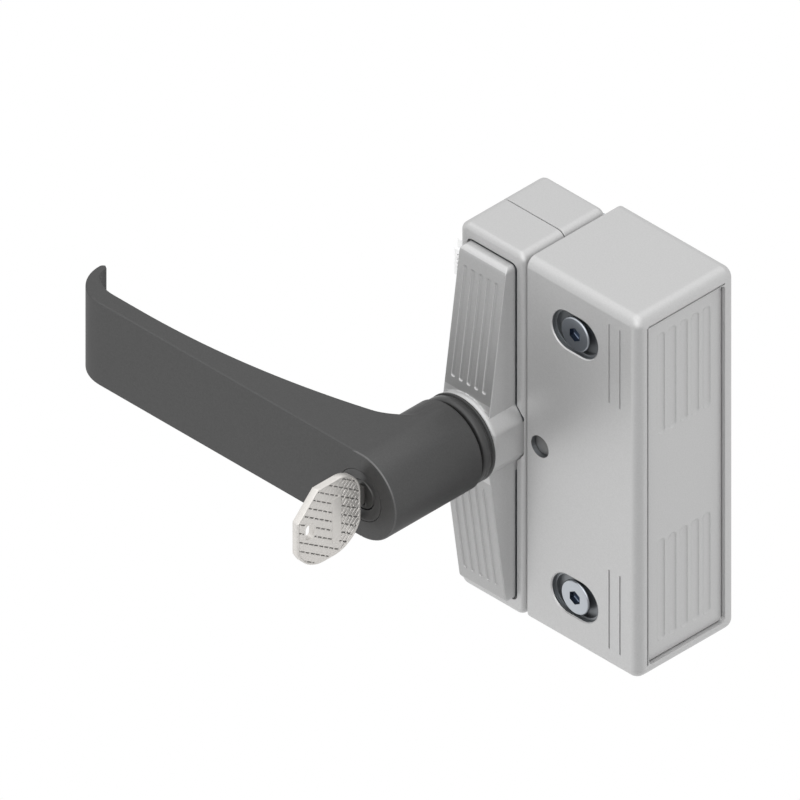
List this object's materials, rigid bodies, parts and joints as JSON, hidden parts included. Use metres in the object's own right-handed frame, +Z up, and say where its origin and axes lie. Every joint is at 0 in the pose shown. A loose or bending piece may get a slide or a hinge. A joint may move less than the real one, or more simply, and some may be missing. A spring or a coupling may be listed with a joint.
{
  "type": "door lock with lever handle and strike box",
  "caption": "Surface lever-handle lock for a profile door, with a key cylinder in the hub, a swinging hook and a separate strike box.",
  "frame": {"origin": "where the lever's axis meets the back face of the lock case", "axes": "+Z up, +X from the lock case towards the strike box, -Y towards the person turning the lever"},
  "size_m": [0.1758, 0.1297, 0.125],
  "materials": {
    "die_cast": "satin silver powder coat on die-cast zinc, fine speckle",
    "die_cast_cover": "satin silver powder coat on die-cast zinc, fluted",
    "slide_plastic": "white moulded acetal, serrated",
    "zinc_screw": "blue zinc-plated steel",
    "bush_bronze": "oil-filled sintered bronze",
    "hook_steel": "zinc-plated hardened steel",
    "spring_steel": "bright spring steel",
    "lever_coat": "matt dark grey fine-texture powder coat on die-cast zinc",
    "collar_plastic": "black moulded acetal",
    "black_steel": "black oxide steel",
    "cylinder_zinc": "dark grey coated die-cast cylinder housing",
    "plug_brass": "nickel-plated brass plug",
    "wafer_brass": "stamped brass wafers",
    "nickel_silver": "stamped nickel silver",
    "pin_steel": "ground steel pin",
    "cup_zinc": "dark zinc-plated pressed steel cup"
  },
  "bodies": {
    "case": {"front_case": "die_cast", "rear_case": "die_cast", "cover_plate": "die_cast_cover", "case_joining_screws": "zinc_screw", "case_mounting_screws": "zinc_screw", "front_bush": "bush_bronze", "rear_bush": "bush_bronze", "stop_pins": "spring_steel", "slide_spring": "spring_steel", "keeper_housing": "die_cast", "keeper_side_cover": "die_cast_cover", "side_cover_screws": "black_steel", "strike_pin": "pin_steel", "strike_pin_clip": "black_steel", "keeper_mounting_screws": "zinc_screw", "slot_washers": "cup_zinc"},
    "handle": {"lever_handle": "lever_coat", "collar_ring": "collar_plastic", "lever_grub_screw": "black_steel", "square_spindle": "hook_steel", "spindle_washer": "zinc_screw", "spindle_screw": "zinc_screw", "hook_bolt": "hook_steel", "disc_spring": "spring_steel", "cylinder_housing": "cylinder_zinc", "cylinder_retaining_pin": "spring_steel"},
    "plug": {"cylinder_plug": "plug_brass", "plug_clip": "spring_steel", "tumbler_wafers": "wafer_brass"},
    "key": {"key": "nickel_silver"},
    "slider": {"locking_slider": "hook_steel"},
    "thumb_slide": {"thumb_slide": "slide_plastic"}
  },
  "joints": [
    {"name": "lever_turn", "type": "hinge", "parent": "case", "child": "handle", "pos_m": [0, -0.04, 0], "axis": [0, -1, 0], "range_deg": [0, 90]},
    {"name": "key_turn", "type": "hinge", "parent": "handle", "child": "plug", "pos_m": [0, -0.075, 0], "axis": [0, 1, 0], "range_deg": [0, 90]},
    {"name": "lock_slide", "type": "slide", "parent": "handle", "child": "slider", "axis": [0, 1, 0], "range_m": [0, 0.004]},
    {"name": "key_insert", "type": "slide", "parent": "plug", "child": "key", "axis": [0, -1, 0], "range_m": [0, 0.02]},
    {"name": "thumb_slide_travel", "type": "slide", "parent": "case", "child": "thumb_slide", "axis": [0, 0, 1], "range_m": [-0.008, 0]}
  ],
  "couplings": [
    {"joint": "lock_slide", "follows": "key_turn", "m_per_rad": 0.0025465}
  ]
}
